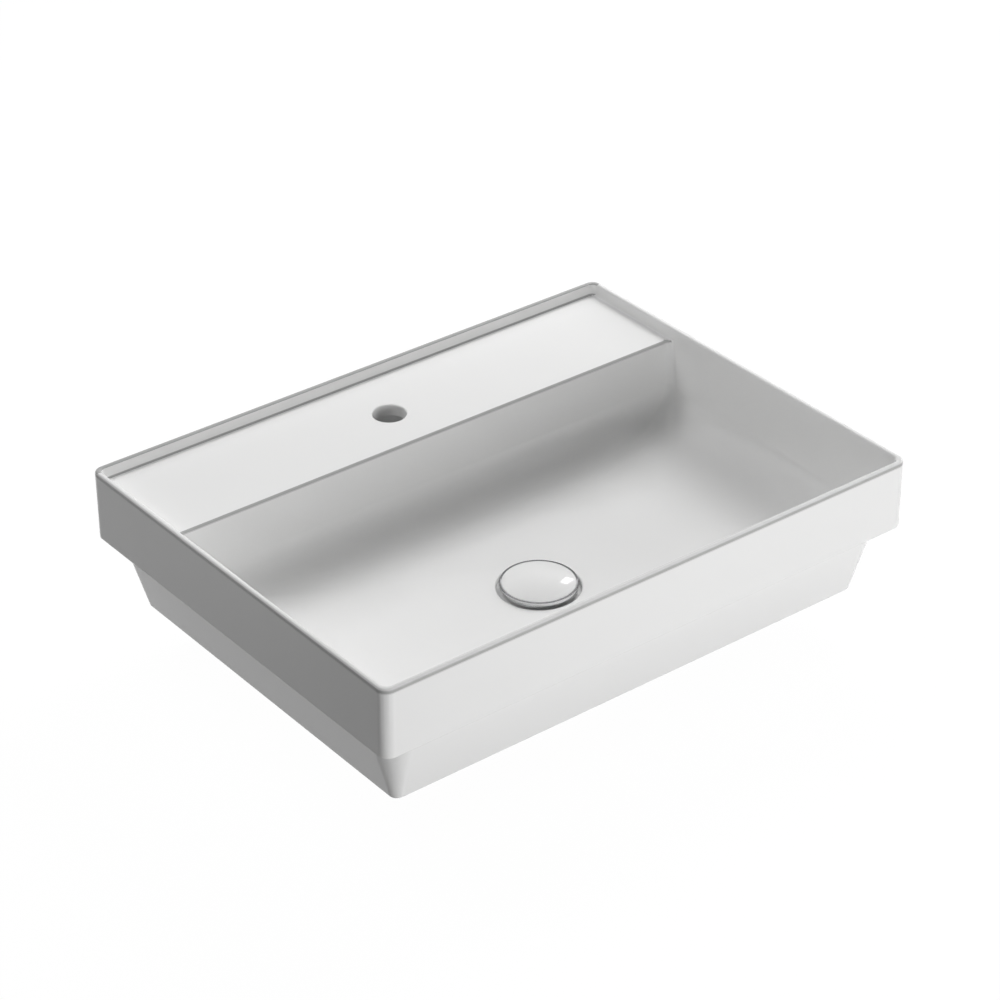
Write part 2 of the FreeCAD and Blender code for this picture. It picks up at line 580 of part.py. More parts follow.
def make_waste_body():
    body = new_body("waste_body")
    thread = "Sizes.thread_diameter / 2"
    throat = "Sizes.throat_diameter / 2"
    tail = f"{BOSS_Z} - Sizes.tail_length"
    flange = "Sizes.flange_diameter / 2"
    edge = "Sizes.waste_chamfer"
    root = f"{thread} - Sizes.relief_depth"
    relief_top = f"{NUT_LOW} - Sizes.relief_gap"
    relief_low = f"{relief_top} - Sizes.relief_width"
    turned(body, "casting", [(throat, FLANGE_TOP), (f"{flange} - {edge}", FLANGE_TOP),
                             (flange, f"{FLANGE_TOP} - {edge}"), (flange, FLANGE_LOW), (thread, FLANGE_LOW),
                             (thread, relief_top), (root, relief_top), (root, relief_low), (thread, relief_low),
                             (thread, f"{tail} + {edge}"), (f"{thread} - {edge}", tail), (throat, tail)])
    rib = sketch_on(body, "rib_plan", "XY_Plane", SPIDER_LOW)
    inner = "(Sizes.spider_hub_diameter / 2 - Sizes.rib_root)"
    outer = f"({throat} + Sizes.rib_root)"
    half = "Sizes.spider_rib_width / 2"
    corners = ((inner, f"-{half}"), (outer, f"-{half}"), (outer, half), (inner, half))
    polygon(rib, corners)
    pad(body, "rib", rib, "Sizes.spider_height")
    ribs = body.newObject("PartDesign::PolarPattern", "ribs")
    ribs.Originals = [body.Tip]
    ribs.Axis = (rib, ["N_Axis"])
    ribs.Angle = 360
    ribs.setExpression("Occurrences", "Sizes.spider_ribs")
    body.Tip = ribs
    hub_hole = "Sizes.sleeve_shank_diameter + 2 * Sizes.shank_play"
    hub = circles(body, "hub_plan", SPIDER_LOW, ["Sizes.spider_hub_diameter", hub_hole])
    pad(body, "hub", hub, "Sizes.spider_height")
    return body


def make_ring(label, inner, outer_top, outer_low, low, height):
    """Plain or tapered ring."""
    body = new_body(label)
    top = f"{low} + {height}"
    turned(body, f"{label}_ring", [(inner, low), (outer_low, low), (outer_top, top), (inner, top)])
    return body


# Plug: cover, pad, plate, seal, stem and lock nut

def make_plug_cover():
    body = new_body("plug_cover")
    sketch = sketch_on(body, "cover_profile", "XZ_Plane")
    radius = "Sizes.cover_diameter / 2"
    edge_top = f"{COVER_LOW} + Sizes.cover_edge"
    crown = f"{edge_top} + Sizes.cover_rise"
    wide, low, top, high = size_of(radius), size_of(COVER_LOW), size_of(edge_top), size_of(crown)
    rise = high - top
    dome = (wide * wide + rise * rise) / (2 * rise)
    half_angle = math.asin(wide / dome)
    sketch.addGeometry(Part.LineSegment(FreeCAD.Vector(0, high, 0), FreeCAD.Vector(0, low, 0)))
    sketch.addGeometry(Part.LineSegment(FreeCAD.Vector(0, low, 0), FreeCAD.Vector(wide, low, 0)))
    sketch.addGeometry(Part.LineSegment(FreeCAD.Vector(wide, low, 0), FreeCAD.Vector(wide, top, 0)))
    ball = Part.Circle(FreeCAD.Vector(0, high - dome, 0), FreeCAD.Vector(0, 0, 1), dome)
    sketch.addGeometry(Part.ArcOfCircle(ball, math.pi / 2 - half_angle, math.pi / 2))
    for first, first_end, second, second_end in ((0, 2, 1, 1), (1, 2, 2, 1), (2, 2, 3, 1), (3, 2, 0, 1)):
        sketch.addConstraint(Sketcher.Constraint("Coincident", first, first_end, second, second_end))
    sketch.addConstraint(Sketcher.Constraint("PointOnObject", 3, 3, -2))
    sketch.addConstraint(Sketcher.Constraint("PointOnObject", 0, 1, -2))
    sketch.addConstraint(Sketcher.Constraint("Vertical", 0))
    sketch.addConstraint(Sketcher.Constraint("Horizontal", 1))
    sketch.addConstraint(Sketcher.Constraint("Vertical", 2))
    dimension(sketch, "radius", radius, "DistanceX", -1, 1, 2, 1)
    dimension(sketch, "low", COVER_LOW, "DistanceY", -1, 1, 1, 1)
    dimension(sketch, "edge_top", edge_top, "DistanceY", -1, 1, 2, 2)
    dimension(sketch, "crown", crown, "DistanceY", -1, 1, 0, 1)
    dome_solid = body.newObject("PartDesign::Revolution", "dome")
    dome_solid.Profile = sketch
    dome_solid.ReferenceAxis = (sketch, ["V_Axis"])
    dome_solid.Angle = 360
    round_edges(body, "cover_rounds", "Sizes.cover_round", lambda e: level_edge(e, top) and is_circle(e, wide))
    return body


def make_plug_plate():
    body = new_body("plug_plate")
    outer = "Sizes.plate_diameter / 2"
    rim = "(Sizes.cover_diameter / 2 + Sizes.cover_play)"
    neck = "Sizes.plate_neck_diameter / 2"
    groove = "Sizes.seal_groove_diameter / 2"
    stem = "(Sizes.stem_diameter / 2 + Sizes.stem_play)"
    floor = f"{PLATE_LOW} + Sizes.plate_base"
    rim_top = f"{PLATE_LOW} + Sizes.plate_rim"
    groove_low = f"{NECK_LOW} + Sizes.seal_lift"
    groove_top = f"{groove_low} + Sizes.seal_height"
    hole_top = f"{NECK_LOW} + Sizes.stem_grip"
    turned(body, "plate", [("0", floor), (rim, floor), (rim, rim_top), (f"{outer} - 0.6", rim_top),
                           (outer, f"{rim_top} - 0.6"), (outer, PLATE_LOW), (neck, PLATE_LOW), (neck, groove_top),
                           (groove, groove_top), (groove, groove_low), (neck, groove_low), (neck, NECK_LOW),
                           (stem, NECK_LOW), (stem, hole_top), ("0", hole_top)])
    return body


# Latch cartridge

def make_latch_ring():
    body = new_body("latch_ring")
    low, top = f"{RING_Z} - Sizes.ring_height / 2", f"{RING_Z} + Sizes.ring_height / 2"
    turned(body, "ring", [(RING_INNER, low), (RING_OUTER, low), (RING_OUTER, top), (RING_INNER, top)])
    tip = "(Sizes.plunger_diameter / 2 - Sizes.groove_depth + Sizes.lug_play)"
    lug = sketch_on(body, "lug_plan", "YZ_Plane", tip)
    lug.addGeometry(Part.Circle(FreeCAD.Vector(0, size_of(RING_Z), 0), FreeCAD.Vector(0, 0, 1),
                                size_of("Sizes.lug_diameter / 2")))
    lug.addConstraint(Sketcher.Constraint("PointOnObject", 0, 3, -2))
    dimension(lug, "height", RING_Z, "DistanceY", -1, 1, 0, 3)
    dimension(lug, "diameter", "Sizes.lug_diameter", "Diameter", 0)
    pad(body, "lug", lug, f"{RING_INNER} + Sizes.ring_wall / 2 - {tip}")
    lugs = body.newObject("PartDesign::PolarPattern", "lugs")
    lugs.Originals = [body.Tip]
    lugs.Axis = (body.Group[0], ["V_Axis"])
    lugs.Angle = 360
    lugs.Occurrences = GROOVES
    body.Tip = lugs
    return body


GROOVES = 2


def make_plunger():
    """Plunger with a blind hole for the stem and two helical grooves for the latch ring's lugs."""
    core = new_body("plunger_core")
    stem = "(Sizes.stem_diameter / 2 + Sizes.stem_play)"
    radius = "Sizes.plunger_diameter / 2"
    hole = f"{PLUNGER_TOP} - Sizes.stem_grip"
    turned(core, "core", [(stem, PLUNGER_TOP), (radius, PLUNGER_TOP), (radius, PLUNGER_LOW), ("0", PLUNGER_LOW),
                          ("0", hole), (stem, hole)])
    low = f"({RING_Z} - Sizes.lift_travel - Sizes.groove_end)"
    height = "Sizes.lift_travel + Sizes.press_travel + 2 * Sizes.groove_end"
    blank = core
    for i in range(GROOVES):
        path = doc.addObject("Part::Helix", f"groove_path_{i}")
        path.setExpression("Pitch", "Sizes.groove_lead")
        path.setExpression("Height", height)
        path.setExpression("Radius", radius)
        section = doc.addObject("Part::Plane", f"groove_section_{i}")
        section.setExpression("Length", "2 * Sizes.groove_depth")
        section.setExpression("Width", "Sizes.groove_width")
        section.setExpression("Placement.Base.x", f"{radius} - Sizes.groove_depth")
        section.setExpression("Placement.Base.y", "-Sizes.groove_width / 2")
        doc.recompute()
        sweep = doc.addObject("Part::Sweep", f"groove_cutter_{i}")
        sweep.Sections = [section]
        sweep.Spine = (path, ["Edge1"])
        sweep.Solid = True
        sweep.Frenet = True
        # the lug stands at angle 0 when the plug is closed, so the groove starts that much further back
        start = f"360 / {GROOVES} * {i} - 360 * (Sizes.lift_travel + Sizes.groove_end) / Sizes.groove_lead"
        sweep.Placement.Rotation = FreeCAD.Rotation(FreeCAD.Vector(0, 0, 1), 0)
        sweep.setExpression("Placement.Rotation.Angle", f"({start}) * 1 deg")
        sweep.setExpression("Placement.Base.z", low)
        sweep.setExpression("Placement.Base.y", WASTE_Y)
        last = i == GROOVES - 1
        blank = cut("cartridge_plunger" if last else f"plunger_grooved_{i}", blank, sweep)
    return blank


def make_sleeve():
    body = new_body("cartridge_sleeve")
    shank = "Sizes.sleeve_shank_diameter / 2"
    skirt_low = f"{CHAMBER_TOP} - Sizes.cap_skirt"
    turned(body, "sleeve", [(GUIDE_RADIUS, SHANK_LOW), (shank, SHANK_LOW), (shank, SPIDER_TOP),
                            (CAP_RADIUS, SPIDER_TOP), (CAP_RADIUS, skirt_low), (SLEEVE_RADIUS, skirt_low),
                            (SLEEVE_RADIUS, CHAMBER_TOP), (CHAMBER_RADIUS, CHAMBER_TOP),
                            (CHAMBER_RADIUS, CHAMBER_LOW), (GUIDE_RADIUS, CHAMBER_LOW)])
    return body


def make_cap():
    body = new_body("cartridge_cap")
    skirt = f"({SLEEVE_RADIUS} + Sizes.thread_play)"
    low = f"{CHAMBER_TOP} - Sizes.cap_skirt"
    top = f"{CHAMBER_TOP} + Sizes.cap_guide"
    edge = "Sizes.cap_chamfer"
    turned(body, "cap", [(GUIDE_RADIUS, CHAMBER_TOP), (skirt, CHAMBER_TOP), (skirt, low), (CAP_RADIUS, low),
                         (CAP_RADIUS, f"{top} - {edge}"), (f"{CAP_RADIUS} - {edge}", top), (GUIDE_RADIUS, top)])
    return body


def make_spring():
    """Compression spring as one tube on biarcs of a quarter turn."""
    wire = size_of("Sizes.spring_wire")
    mean = size_of("Sizes.spring_mean_diameter / 2")
    low = size_of(FOOT_TOP) + wire / 2
    high = size_of(PLUNGER_LOW) - wire / 2
    quarters = 4 * round(size_of("Sizes.spring_turns"))
    rise = (high - low) / quarters

    def place(i):
        turn = math.pi / 2 * i
        return FreeCAD.Vector(mean * math.cos(turn), mean * math.sin(turn), low + rise * i)

    def heading(i):
        turn = math.pi / 2 * i
        return FreeCAD.Vector(-mean * math.sin(turn), mean * math.cos(turn), rise * 2 / math.pi).normalize()

    edges = []
    for i in range(quarters):
        edges += biarc(place(i), heading(i), place(i + 1), heading(i + 1))
    path = Part.Wire(edges)
    circle = Part.Circle(place(0), heading(0), wire / 2).toShape()
    shape = path.makePipeShell([Part.Wire(circle)], True, False)
    print("spring: gap between turns", round(4 * rise - wire, 2), "mm")
    spring = doc.addObject("Part::Feature", "cartridge_spring")
    spring.Label = "cartridge_spring"
    spring.Shape = shape
    spring.Placement = FreeCAD.Placement(FreeCAD.Vector(0, size_of(WASTE_Y), 0), FreeCAD.Rotation())
    return spring


def biarc(start, start_way, end, end_way):
    """Two arcs, tangent to each other and to the given ways at both ends."""
    chord = end - start
    both = start_way + end_way
    a = both.dot(both) - 4
    b = -2 * chord.dot(both)
    c = chord.dot(chord)
    reach = (-b - math.sqrt(b * b - 4 * a * c)) / (2 * a)
    first, second = start + start_way * reach, end - end_way * reach
    joint = (first + second) * 0.5
    arcs = []
    for head, corner, foot in ((start, first, joint), (joint, second, end)):
        half = (head + foot) * 0.5
        to_corner = corner - half
        bulge = to_corner.Length * (head - half).Length / ((head - half).Length + (corner - head).Length)
        arcs.append(Part.Arc(head, half + to_corner.normalize() * bulge, foot).toShape())
    return arcs


basin_body = make_basin_body()
stem_low = f"{PLUNGER_TOP} - Sizes.stem_grip"
nodes = [
    basin_body,
    make_waste_body(),
    make_ring("flange_seal", THREAD_HOLE, "Sizes.flange_seal_diameter / 2", "Sizes.flange_seal_diameter / 2",
              SEAT_Z, "Sizes.flange_seal_thickness"),
    make_ring("boss_seal", THREAD_HOLE, "Sizes.boss_seal_top / 2", "Sizes.boss_seal_bottom / 2",
              SEAL_LOW, "Sizes.boss_seal_height"),
    make_ring("slip_washer", THREAD_HOLE, "Sizes.slip_washer_diameter / 2", "Sizes.slip_washer_diameter / 2",
              WASHER_LOW, "Sizes.slip_washer_thickness"),
    hexagon_nut("back_nut", NUT_LOW, "Sizes.back_nut_flats", "Sizes.back_nut_height", THREAD_HOLE),
    make_plug_cover(),
    primitive("Part::Cylinder", "cover_pad", f"{PLATE_LOW} + Sizes.plate_base", Radius="Sizes.pad_diameter / 2",
              Height="Sizes.pad_thickness"),
    make_plug_plate(),
    make_ring("plug_seal", "Sizes.seal_groove_diameter / 2", "Sizes.throat_diameter / 2 - Sizes.seal_outer_play",
              "Sizes.throat_diameter / 2 - Sizes.seal_outer_play", f"{NECK_LOW} + Sizes.seal_lift",
              "Sizes.seal_height"),
    primitive("Part::Cylinder", "plug_stem", stem_low, Radius="Sizes.stem_diameter / 2",
              Height=f"{NECK_LOW} + Sizes.stem_grip - ({stem_low})"),
    hexagon_nut("stem_nut", PLUNGER_TOP, "Sizes.stem_nut_flats", "Sizes.stem_nut_height",
                "(Sizes.stem_diameter / 2 + Sizes.stem_play)"),
    make_plunger(),
    make_latch_ring(),
    make_sleeve(),
    make_cap(),
    make_spring(),
    primitive("Part::Cylinder", "cartridge_foot", SHANK_LOW, Radius=GUIDE_RADIUS, Height="Sizes.foot_thickness"),
    hexagon_nut("cartridge_nut", f"{SPIDER_LOW} - Sizes.cartridge_nut_height", "Sizes.cartridge_nut_flats",
                "Sizes.cartridge_nut_height", "(Sizes.sleeve_shank_diameter / 2 + Sizes.shank_play)"),
]

doc.recompute()
for obj in doc.Objects:
    if "Invalid" in obj.State or "Error" in obj.State:
        raise RuntimeError(f"{obj.Name} failed: {obj.State}")
for node in nodes:
    if node.Shape.isNull() or not node.Shape.isValid() or len(node.Shape.Solids) != 1:
        raise RuntimeError(f"{node.Label} is not one valid solid")

os.makedirs("parts", exist_ok=True)
for node in nodes:
    node.Shape.exportStep(f"parts/{node.Label}.step")
    print(node.Label, round(node.Shape.Volume / 1000, 2), "cm3")
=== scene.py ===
import math

import bpy
from mathutils import Matrix, Vector


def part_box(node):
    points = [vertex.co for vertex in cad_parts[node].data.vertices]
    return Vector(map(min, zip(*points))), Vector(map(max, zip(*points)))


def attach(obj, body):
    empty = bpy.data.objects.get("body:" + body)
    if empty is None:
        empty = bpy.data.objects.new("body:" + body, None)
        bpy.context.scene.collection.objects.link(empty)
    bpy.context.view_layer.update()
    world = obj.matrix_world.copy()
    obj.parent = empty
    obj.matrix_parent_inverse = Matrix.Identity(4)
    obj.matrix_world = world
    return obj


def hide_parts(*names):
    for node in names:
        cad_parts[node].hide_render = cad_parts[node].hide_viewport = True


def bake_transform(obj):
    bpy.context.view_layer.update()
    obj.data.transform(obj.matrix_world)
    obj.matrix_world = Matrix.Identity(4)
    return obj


bl_info = {
    "name": "Inset basin",
    "version": (1, 0, 0),
    "blender": (4, 5, 0),
    "location": "View3D > Sidebar > Basin",
    "description": "Dresses a glazed inset basin and its press-to-open waste",
    "category": "Object",
}

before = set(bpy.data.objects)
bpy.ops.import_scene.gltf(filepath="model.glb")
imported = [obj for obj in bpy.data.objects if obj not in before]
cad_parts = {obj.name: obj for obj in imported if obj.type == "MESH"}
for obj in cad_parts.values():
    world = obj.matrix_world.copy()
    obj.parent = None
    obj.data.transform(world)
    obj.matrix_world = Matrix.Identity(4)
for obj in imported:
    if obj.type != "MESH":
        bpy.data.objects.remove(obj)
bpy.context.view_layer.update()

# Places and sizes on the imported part, in metres
RIM_HEIGHT = 0.0736
RIM_ROUND = 0.0025
LEDGE_HEIGHT = 0.0616
LEDGE_EDGE = 0.102
LEDGE_HOLLOW = 0.0025
BACK_LIP = 0.2
WASTE_AXIS = Vector((0.0, -0.06, 0.0))
TAIL_RADIUS = 0.02095

# Depths below the rim at which the collar gets a row of edges
RIM_CUTS = (0.0032, 0.004, 0.0052)

# Painted shade on the rim's rounds, in rounds of the rim: where it starts, how it rises and fades, and the back
# lip's band
SHADE_START = 0.3
SHADE_RISE = 0.6
SHADE_FADE = 0.9
SHADE_GAIN = 1.4
LIP_SHADE_BAND = 0.4

# Faces of the outer sides, of the ledge's front and of the hollow behind it: how far their normals turn
OUTWARD = 0.02
FORWARD = -0.1
HOLLOW_TURN = -0.5

# Slack in height, and reach ahead and behind, for the edge of the ledge
EDGE_SLACK = 0.0001
EDGE_AHEAD = 0.01
EDGE_BEHIND = 0.001

# Turns in degrees: kept sharp, kept sharp on small parts, picked as an edge, rounded, and taken as flat
SMOOTH_ANGLE = 25
SMALL_ANGLE = 30
EDGE_ANGLE = 40
BEVEL_ANGLE = 35
FLAT_ANGLE = 1

# Points closer than this become one, and widths of the small rounds
MERGE_DISTANCE = 0.00001
SOFT_EDGE = 0.0003
SEAL_EDGE = 0.0006

# Thread: room under the nut, reach past the tail, half width of the groove in pitches, steps in a turn
THREAD_START = 0.003
THREAD_REACH = 0.0003
GROOVE_SHARE = 0.42
THREAD_STEPS = 48

# Nut: cut into the corners, share of the height that is left whole, reach past the corners
NUT_CHAMFER = 0.0028
NUT_WHOLE = 0.4
NUT_REACH = 0.001

# Turning that chamfers the nut: its sides, and how far a side's normal may tip
NUT_SIDES = 96
UPRIGHT = 0.5

# Places of the dark and the light tone on a noise
TONE_RANGE = (0.3, 0.7)

# Glaze: refraction, scale and depth of the drift of tone, scale and strength of the ripple
GLAZE_IOR = 1.5
DRIFT_SCALE = 9.0
DRIFT_SHARE = 0.992
RIPPLE_SCALE = 60.0
RIPPLE_STRENGTH = 0.25

# Chrome: scale of the polishing grain, share of the colour in its dark tone, least and most roughness
GRAIN_SCALE = 900.0
GRAIN_SHARE = 0.92
CHROME_ROUGHNESS = (0.04, 0.10)

# Rings of turning: scale, distortion, strength and depth, and the scale of the metal's drift of tone
RING_SCALE = 900.0
RING_DISTORTION = 1.5
RING_STRENGTH = 0.2
RING_DEPTH = 0.00003
METAL_DRIFT = 120.0

# Skin of moulded parts: detail and strength
SKIN_DETAIL = 4.0
SKIN_STRENGTH = 0.3

# Turned metals: dark tone, light tone, roughness
STEEL = ((0.5, 0.5, 0.52), (0.6, 0.6, 0.61), 0.3)
BRASS = ((0.55, 0.38, 0.15), (0.62, 0.45, 0.2), 0.28)

# Moulded finishes: dark tone, light tone, roughness, scale of the grain, depth of the skin
BLACK_RUBBER = ((0.02, 0.02, 0.02), (0.035, 0.035, 0.035), 0.65, 800.0, 0.00005)
GREY_RUBBER = ((0.42, 0.42, 0.42), (0.5, 0.5, 0.5), 0.7, 800.0, 0.00005)
WHITE_PLASTIC = ((0.72, 0.72, 0.7), (0.78, 0.78, 0.76), 0.4, 500.0, 0.00003)
GREY_PLASTIC = ((0.22, 0.23, 0.25), (0.28, 0.29, 0.31), 0.45, 500.0, 0.00003)

# Chrome, and the painted shade of the gap at the top of the plate
BRIGHT_CHROME = (0.88, 0.885, 0.89)
GAP_SHADE_COLOUR = (0.26, 0.26, 0.27)
GAP_SHADE_HEIGHT = 0.0007

# Square softboxes: azimuth from the front towards the right, elevation, brightness
BOX_DISTANCE = 2.2
BOX_SIDE = 0.9
BOXES = {
    "front_box": (0.0, 4.0, 10.9),
    "right_low_box": (100.0, 15.0, 6.85),
    "right_high_box": (120.0, 40.0, 11.2),
    "back_high_box": (200.0, 58.0, 4.95),
    "back_left_box": (220.0, 40.0, 2.45),
}

# Fills: place, aim, width, height, brightness
FILLS = {
    "front_strip": ((0.3, -1.1, -0.09), (0.0, -0.2, 0.02), 2.0, 0.3, 2.85),
    "bowl_fill": ((-0.3, 0.0, 0.3), (0.3, 0.0, 0.03), 0.3, 0.3, 0.42),
}

# Lamp for the waste cover alone, whose reflection shows there
GLINT = ((1.428, 0.949, 1.03), (0.0, 0.0, 0.0), 0.13, 0.39, 8.0)

# Floor: side, grey, roughness, share of its white that is seen directly, and strength of that white
FLOOR_SIDE = 16.0
FLOOR_GREY = (0.35, 0.35, 0.35, 1.0)
FLOOR_ROUGHNESS = 0.9
FLOOR_SHARE = 0.93
FLOOR_GLOW = 1.06
WHITE = (1.0, 1.0, 1.0, 1.0)

# Camera: width of the sensor in millimetres, and how far it sees
SENSOR_WIDTH = 36.0
SIGHT = 50.0


# Sizes and colours that a user would change

class GlazeSettings(bpy.types.PropertyGroup):
    colour: bpy.props.FloatVectorProperty(
        name="Glaze", description="Colour of the white glaze", subtype="COLOR", size=3,
        min=0.0, max=1.0, default=(0.88, 0.88, 0.876))
    roughness: bpy.props.FloatProperty(
        name="Gloss", description="Roughness of the fired glaze", min=0.0, max=1.0, default=0.07)
    ledge_round: bpy.props.FloatProperty(
        name="Ledge edge", description="Round on the tap ledge's front edge", subtype="DISTANCE", unit="LENGTH",
        min=0.0, max=0.004, default=0.0025)
    # Share of the colour left under the painted shade on the rounds and the hollow behind the ledge
    painted_shade_share: bpy.props.FloatProperty(
        name="Edge tone", description="Share of the colour left where the glaze is thin", subtype="FACTOR",
        min=0.0, max=1.0, default=0.5)
    ripple: bpy.props.FloatProperty(
        name="Ripple", description="Height of the glaze's soft ripple", subtype="DISTANCE", unit="LENGTH",
        min=0.0, max=0.001, default=0.00004)


class FittingSettings(bpy.types.PropertyGroup):
    pitch: bpy.props.FloatProperty(
        name="Pitch", description="Pitch of the pipe thread", subtype="DISTANCE", unit="LENGTH", min=0.0005,
        max=0.005, default=0.002309)
    thread_depth: bpy.props.FloatProperty(
        name="Depth", description="Depth of the pipe thread", subtype="DISTANCE", unit="LENGTH", min=0.0002,
        max=0.002, default=0.0012)


class StageSettings(bpy.types.PropertyGroup):
    camera_place: bpy.props.FloatVectorProperty(
        name="Camera", description="Where the camera stands", subtype="TRANSLATION", unit="LENGTH", size=3,
        default=(-1.6051, -2.0582, 1.6497))
    yaw: bpy.props.FloatProperty(
        name="Yaw", description="Camera's turn from straight ahead to the right", subtype="ANGLE", unit="ROTATION",
        default=math.radians(37.95))
    pitch: bpy.props.FloatProperty(
        name="Pitch", description="Camera's look down", subtype="ANGLE", unit="ROTATION",
        default=math.radians(31.76))
    roll: bpy.props.FloatProperty(
        name="Roll", description="Camera's roll", subtype="ANGLE", unit="ROTATION", default=math.radians(-0.258))
    lens: bpy.props.FloatProperty(
        name="Lens", description="Focal length in millimetres on a 36 mm sensor", min=20.0, max=300.0,
        default=115.38)
    floor_drop: bpy.props.FloatProperty(
        name="Floor", description="Height of the pale floor", subtype="DISTANCE", unit="LENGTH", default=-0.1205)


# Materials

def new_material(name):
    """Empty node material with its principled shader."""
    material = bpy.data.materials.new(name)
    material.use_nodes = True
    shader = material.node_tree.nodes["Principled BSDF"]
    return material, shader


def add_node(material, kind, **values):
    """Node with its properties and unlinked inputs set."""
    node = material.node_tree.nodes.new(kind)
    for key, value in values.items():
        if key in node.inputs:
            node.inputs[key].default_value = value
        else:
            setattr(node, key, value)
    return node


def link(material, source, target):
    material.node_tree.links.new(source, target)


def object_noise(material, scale, detail=2.0):
    """Noise that stays with the object."""
    place = add_node(material, "ShaderNodeTexCoord")
    noise = add_node(material, "ShaderNodeTexNoise", Scale=scale, Detail=detail)
    link(material, place.outputs["Object"], noise.inputs["Vector"])
    return noise


def bump_from(material, shader, height, strength, distance):
    """Bump on the shader from a height output."""
    bump = add_node(material, "ShaderNodeBump", Strength=strength, Distance=distance)
    link(material, height, bump.inputs["Height"])
    link(material, bump.outputs["Normal"], shader.inputs["Normal"])


def tone(material, shader, factor, dark, light):
    """Base colour that wanders between two close tones."""
    ramp = add_node(material, "ShaderNodeValToRGB")
    for stop, position, colour in zip(ramp.color_ramp.elements, TONE_RANGE, (dark, light)):
        stop.position = position
        stop.color = (*colour, 1.0)
    link(material, factor, ramp.inputs["Fac"])
    link(material, ramp.outputs["Color"], shader.inputs["Base Color"])


def scaled(colour, share):
    return tuple(share * part for part in colour)


def paint_edge_shade(material, shader, share):
    """Darker base colour, painted shade, where a piece's own mark says so."""
    colour = shader.inputs["Base Color"].links[0].from_socket
    mark = add_node(material, "ShaderNodeAttribute", attribute_name="painted_shade_mark")
    mix = add_node(material, "ShaderNodeMixRGB", blend_type="MULTIPLY", Color2=(share, share, share, 1.0))
    link(material, mark.outputs["Fac"], mix.inputs["Fac"])
    link(material, colour, mix.inputs["Color1"])
    link(material, mix.outputs["Color"], shader.inputs["Base Color"])


def glaze_material(name, settings):
    """Fired white glaze: glossy, with a faint drift of tone, a soft ripple and painted shade where a piece marks
    it.
    """
    material, shader = new_material(name)
    shader.inputs["Roughness"].default_value = settings.roughness
    shader.inputs["IOR"].default_value = GLAZE_IOR
    drift = object_noise(material, DRIFT_SCALE)
    tone(material, shader, drift.outputs["Fac"], scaled(settings.colour, DRIFT_SHARE), settings.colour)
    # Painted shade on the marked rounds and hollow
    paint_edge_shade(material, shader, settings.painted_shade_share)
    ripple = object_noise(material, RIPPLE_SCALE)
    bump_from(material, shader, ripple.outputs["Fac"], RIPPLE_STRENGTH, settings.ripple)
    return material


def chrome_material(name, colour):
    """Plated metal with the faint grain of polishing."""
    material, shader = new_material(name)
    shader.inputs["Metallic"].default_value = 1.0
    grain = object_noise(material, GRAIN_SCALE)
    tone(material, shader, grain.outputs["Fac"], scaled(colour, GRAIN_SHARE), colour)
    spread = add_node(material, "ShaderNodeMapRange")
    spread.inputs["To Min"].default_value, spread.inputs["To Max"].default_value = CHROME_ROUGHNESS
    link(material, grain.outputs["Fac"], spread.inputs["Value"])
    link(material, spread.outputs["Result"], shader.inputs["Roughness"])
    return material


def gap_shade_line(material, shader, height, colour):
    """Dark line above a height: painted shade of the gap beside the cover."""
    metal = shader.inputs["Base Color"].links[0].from_socket
    place = add_node(material, "ShaderNodeTexCoord")
    parts = add_node(material, "ShaderNodeSeparateXYZ")
    link(material, place.outputs["Object"], parts.inputs["Vector"])
    above = add_node(material, "ShaderNodeMath", operation="GREATER_THAN")
    above.inputs[1].default_value = height
    link(material, parts.outputs["Z"], above.inputs[0])
    mix = add_node(material, "ShaderNodeMixRGB", Color2=(*colour, 1.0))
    link(material, above.outputs[0], mix.inputs["Fac"])
    link(material, metal, mix.inputs["Color1"])
    link(material, mix.outputs["Color"], shader.inputs["Base Color"])


def turned_metal_material(name, dark, light, roughness):
    """Metal with the fine rings that turning leaves."""
    material, shader = new_material(name)
    shader.inputs["Metallic"].default_value = 1.0
    shader.inputs["Roughness"].default_value = roughness
    place = add_node(material, "ShaderNodeTexCoord")
    rings = add_node(material, "ShaderNodeTexWave", wave_type="BANDS", bands_direction="Z", Scale=RING_SCALE,
                     Distortion=RING_DISTORTION)
    link(material, place.outputs["Object"], rings.inputs["Vector"])
    bump_from(material, shader, rings.outputs["Fac"], RING_STRENGTH, RING_DEPTH)
    drift = object_noise(material, METAL_DRIFT)
    tone(material, shader, drift.outputs["Fac"], dark, light)
    return material


def moulded_material(name, dark, light, roughness, grain, depth):
    """Moulded plastic or rubber with a fine skin."""
    material, shader = new_material(name)
    shader.inputs["Roughness"].default_value = roughness
    skin = object_noise(material, grain, SKIN_DETAIL)
    tone(material, shader, skin.outputs["Fac"], dark, light)
    bump_from(material, shader, skin.outputs["Fac"], SKIN_STRENGTH, depth)
    return material


# Pieces

def deselect_all():
    if bpy.context.object and bpy.context.object.mode != "OBJECT":
        bpy.ops.object.mode_set(mode="OBJECT")
    bpy.ops.object.select_all(action="DESELECT")


def make_active(piece):
    deselect_all()
    piece.select_set(True)
    bpy.context.view_layer.objects.active = piece


def finish_piece(piece, material, body, slot, *nodes):
    """Material, body and the nodes that a piece stands for. A piece that stretches between bodies has none."""
    piece.data.materials.clear()
    piece.data.materials.append(material)
    if body:
        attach(piece, body)
    if nodes:
        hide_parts(*nodes)


def settle_normals(piece, angle=SMOOTH_ANGLE):
    """Smooth shading across small turns, with large faces kept flat."""
    make_active(piece)
    bpy.ops.object.shade_smooth_by_angle(angle=math.radians(angle))
    apply_modifier(piece, "WEIGHTED_NORMAL", mode="FACE_AREA", weight=50, keep_sharp=True)


